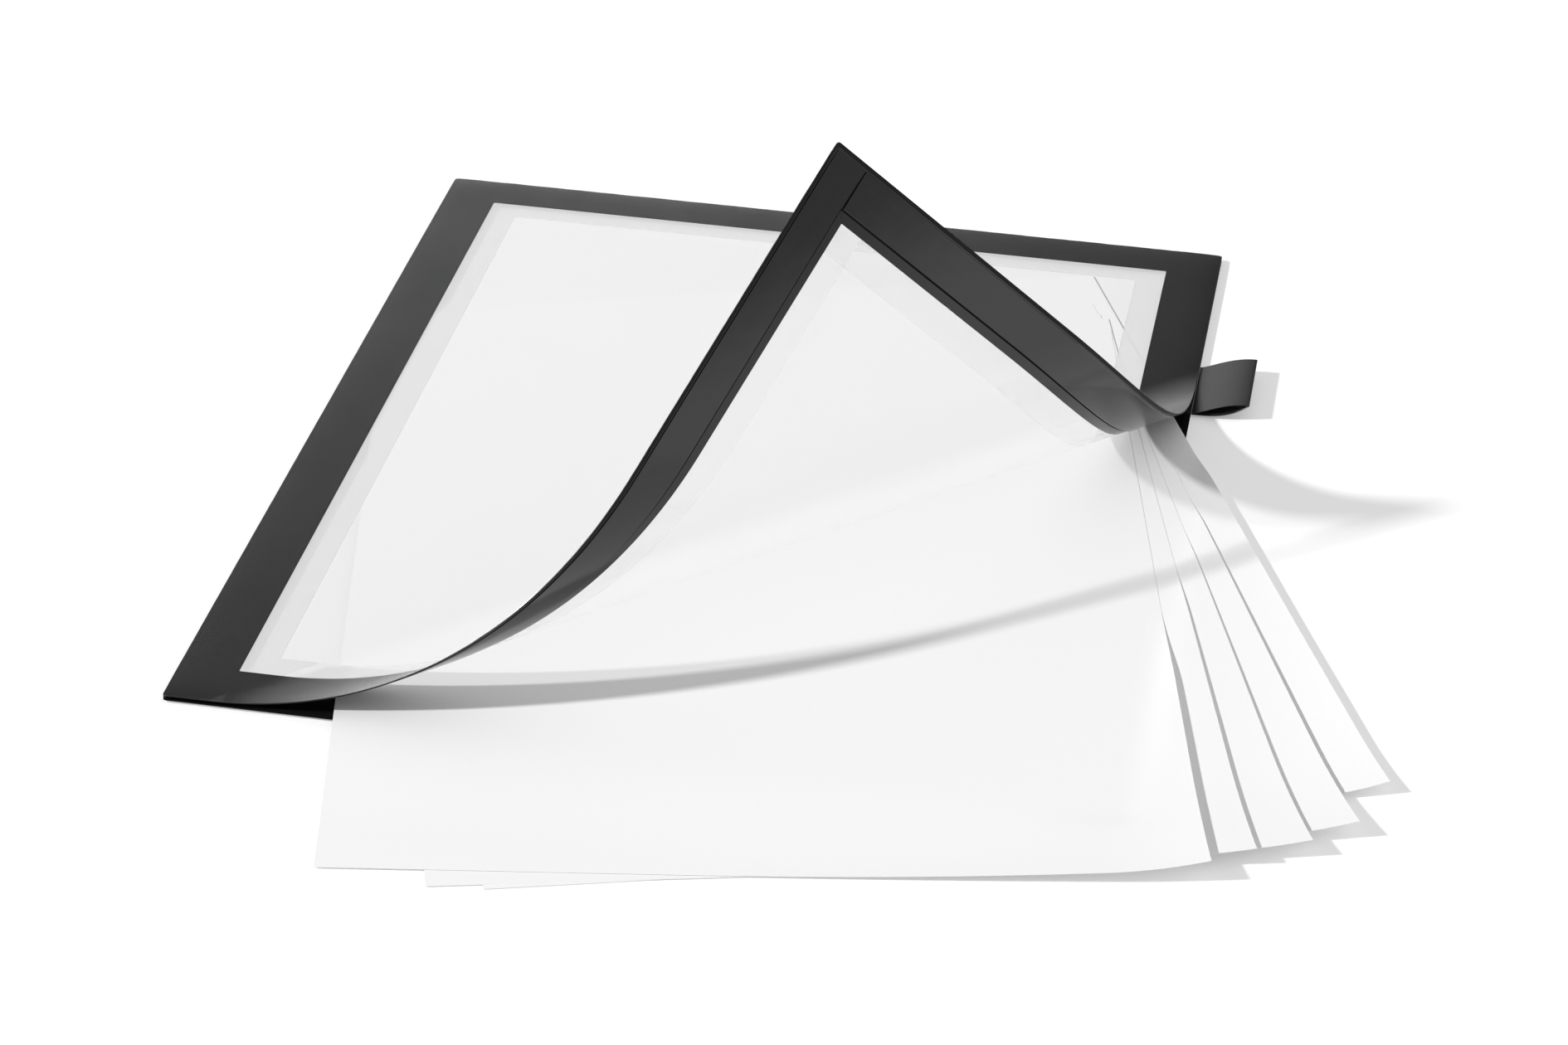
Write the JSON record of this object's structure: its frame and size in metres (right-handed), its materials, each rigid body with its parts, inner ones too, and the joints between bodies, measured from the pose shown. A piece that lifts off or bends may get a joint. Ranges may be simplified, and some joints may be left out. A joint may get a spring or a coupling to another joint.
{
  "type": "magnetic document frame",
  "caption": "Flat portrait document frame with a black magnetic border, a clear front cover peeled up at one corner, a ribbon pull tab and a fan of blank sheets sliding in.",
  "frame": {"origin": "centre of the flat back face, the face that is stuck to a wall or laid on a table", "axes": "+Z out of the back face to the viewer, +Y to the top of the page, +X to the right of the page"},
  "size_m": [0.3016, 0.3912, 0.1342],
  "materials": {
    "white_back": "smooth white sheet",
    "black_film": "satin black film",
    "magnet_strip": "smooth flexible magnet strip",
    "clear_film": "clear film with a frosted edge",
    "black_ribbon": "coated black ribbon",
    "paper": "uncoated white paper"
  },
  "bodies": {
    "rear_panel": {"back_sheet": "white_back", "rear_border": "black_film", "rear_magnet_left": "magnet_strip", "rear_magnet_right": "magnet_strip", "rear_magnet_top": "magnet_strip", "rear_magnet_bottom": "magnet_strip", "tab_anchor": "black_ribbon"},
    "cover": {"cover_window": "clear_film", "cover_border": "black_film", "cover_magnet_left": "magnet_strip", "cover_magnet_right": "magnet_strip", "cover_magnet_top": "magnet_strip", "cover_magnet_bottom": "magnet_strip"},
    "bend_01": {"window_strip_1": "clear_film", "border_strip_1": "black_film", "magnet_strip_1": "magnet_strip"},
    "bend_02": {"window_strip_2": "clear_film", "border_strip_2": "black_film", "magnet_strip_2": "magnet_strip"},
    "bend_03": {"window_strip_3": "clear_film", "border_strip_3": "black_film", "magnet_strip_3": "magnet_strip"},
    "bend_04": {"window_strip_4": "clear_film", "border_strip_4": "black_film", "magnet_strip_4": "magnet_strip"},
    "bend_05": {"window_strip_5": "clear_film", "border_strip_5": "black_film", "magnet_strip_5": "magnet_strip"},
    "bend_06": {"window_strip_6": "clear_film", "border_strip_6": "black_film", "magnet_strip_6": "magnet_strip"},
    "bend_07": {"window_strip_7": "clear_film", "border_strip_7": "black_film", "magnet_strip_7": "magnet_strip"},
    "bend_08": {"window_strip_8": "clear_film", "border_strip_8": "black_film", "magnet_strip_8": "magnet_strip"},
    "bend_09": {"window_strip_9": "clear_film", "border_strip_9": "black_film", "magnet_strip_9": "magnet_strip"},
    "bend_10": {"window_strip_10": "clear_film", "border_strip_10": "black_film", "magnet_strip_10": "magnet_strip"},
    "bend_11": {"window_strip_11": "clear_film", "border_strip_11": "black_film", "magnet_strip_11": "magnet_strip"},
    "free_corner": {"flap_window": "clear_film", "flap_border": "black_film", "flap_magnets": "magnet_strip"},
    "pull_tab": {"tab_loop": "black_ribbon"},
    "sheet_1": {"sheet_1": "paper"},
    "sheet_2": {"sheet_2": "paper"},
    "sheet_3": {"sheet_3": "paper"},
    "sheet_4": {"sheet_4": "paper"},
    "sheet_5": {"sheet_5": "paper"}
  },
  "joints": [
    {"name": "cover_hinge", "type": "hinge", "parent": "rear_panel", "child": "cover", "pos_m": [-0.118, 0, 0.00152], "axis": [0, 1, 0], "range_deg": [-120, 0]},
    {"name": "corner_peel", "type": "hinge", "parent": "cover", "child": "bend_02", "pos_m": [0.00229, -0.0551, 0.00261], "axis": [0.6769, 0.7361, 0], "range_deg": [-6, 15.83]},
    {"name": "peel_follow_01", "type": "hinge", "parent": "cover", "child": "bend_01", "pos_m": [-0.0006, -0.05244, 0.00234], "axis": [0.6769, 0.7361, 0], "range_deg": [-3, 7.92]},
    {"name": "peel_follow_03", "type": "hinge", "parent": "bend_02", "child": "bend_03", "pos_m": [0.01066, -0.0628, 0.00556], "axis": [0.6769, 0.7361, 0], "range_deg": [-3, 7.92]},
    {"name": "peel_follow_04", "type": "hinge", "parent": "bend_02", "child": "bend_04", "pos_m": [0.01338, -0.0653, 0.00689], "axis": [0.6769, 0.7361, 0], "range_deg": [-6, 15.83]},
    {"name": "peel_follow_05", "type": "hinge", "parent": "bend_04", "child": "bend_05", "pos_m": [0.02085, -0.07216, 0.01282], "axis": [0.6769, 0.7361, 0], "range_deg": [-3, 7.92]},
    {"name": "peel_follow_06", "type": "hinge", "parent": "bend_04", "child": "bend_06", "pos_m": [0.0232, -0.07432, 0.01511], "axis": [0.6769, 0.7361, 0], "range_deg": [-6, 15.83]},
    {"name": "peel_follow_07", "type": "hinge", "parent": "bend_06", "child": "bend_07", "pos_m": [0.02919, -0.07983, 0.02359], "axis": [0.6769, 0.7361, 0], "range_deg": [-3, 7.92]},
    {"name": "peel_follow_08", "type": "hinge", "parent": "bend_06", "child": "bend_08", "pos_m": [0.03099, -0.08149, 0.02666], "axis": [0.6769, 0.7361, 0], "range_deg": [-6, 15.83]},
    {"name": "peel_follow_09", "type": "hinge", "parent": "bend_08", "child": "bend_09", "pos_m": [0.03505, -0.08522, 0.03704], "axis": [0.6769, 0.7361, 0], "range_deg": [-3, 7.92]},
    {"name": "peel_follow_10", "type": "hinge", "parent": "bend_08", "child": "bend_10", "pos_m": [0.03616, -0.08625, 0.04066], "axis": [0.6769, 0.7361, 0], "range_deg": [-6, 15.83]},
    {"name": "peel_follow_11", "type": "hinge", "parent": "bend_10", "child": "bend_11", "pos_m": [0.03798, -0.08792, 0.05215], "axis": [0.6769, 0.7361, 0], "range_deg": [-3, 7.92]},
    {"name": "peel_follow_12", "type": "hinge", "parent": "bend_10", "child": "free_corner", "pos_m": [0.03833, -0.08824, 0.05605], "axis": [0.6769, 0.7361, 0], "range_deg": [-6, 15.83]},
    {"name": "tab_flex", "type": "hinge", "parent": "rear_panel", "child": "pull_tab", "pos_m": [0.1181, 0.07072, 0.00118], "axis": [0, -1, 0], "range_deg": [-8, 40], "stiffness_Nm_per_rad": 0.002},
    {"name": "sheet_1_insert", "type": "hinge", "parent": "rear_panel", "child": "sheet_1", "pos_m": [0.351, 0.04607, 0.00118], "axis": [0, 0, -1], "range_deg": [0, 10.4]},
    {"name": "sheet_2_insert", "type": "hinge", "parent": "rear_panel", "child": "sheet_2", "pos_m": [0.26691, 0.05708, 0.00118], "axis": [0, 0, -1], "range_deg": [0, 12.7]},
    {"name": "sheet_3_insert", "type": "hinge", "parent": "rear_panel", "child": "sheet_3", "pos_m": [0.22245, 0.06266, 0.00118], "axis": [0, 0, -1], "range_deg": [0, 15.8]},
    {"name": "sheet_4_insert", "type": "hinge", "parent": "rear_panel", "child": "sheet_4", "pos_m": [0.17993, 0.06743, 0.00118], "axis": [0, 0, -1], "range_deg": [0, 18.5]},
    {"name": "sheet_5_insert", "type": "hinge", "parent": "rear_panel", "child": "sheet_5", "pos_m": [0.11687, 0.07712, 0.00118], "axis": [0, 0, -1], "range_deg": [0, 20.2]}
  ],
  "couplings": [
    {"joint": "peel_follow_01", "follows": "corner_peel", "ratio": 0.5},
    {"joint": "peel_follow_03", "follows": "corner_peel", "ratio": 0.5},
    {"joint": "peel_follow_04", "follows": "corner_peel", "ratio": 1},
    {"joint": "peel_follow_05", "follows": "corner_peel", "ratio": 0.5},
    {"joint": "peel_follow_06", "follows": "corner_peel", "ratio": 1},
    {"joint": "peel_follow_07", "follows": "corner_peel", "ratio": 0.5},
    {"joint": "peel_follow_08", "follows": "corner_peel", "ratio": 1},
    {"joint": "peel_follow_09", "follows": "corner_peel", "ratio": 0.5},
    {"joint": "peel_follow_10", "follows": "corner_peel", "ratio": 1},
    {"joint": "peel_follow_11", "follows": "corner_peel", "ratio": 0.5},
    {"joint": "peel_follow_12", "follows": "corner_peel", "ratio": 1}
  ]
}
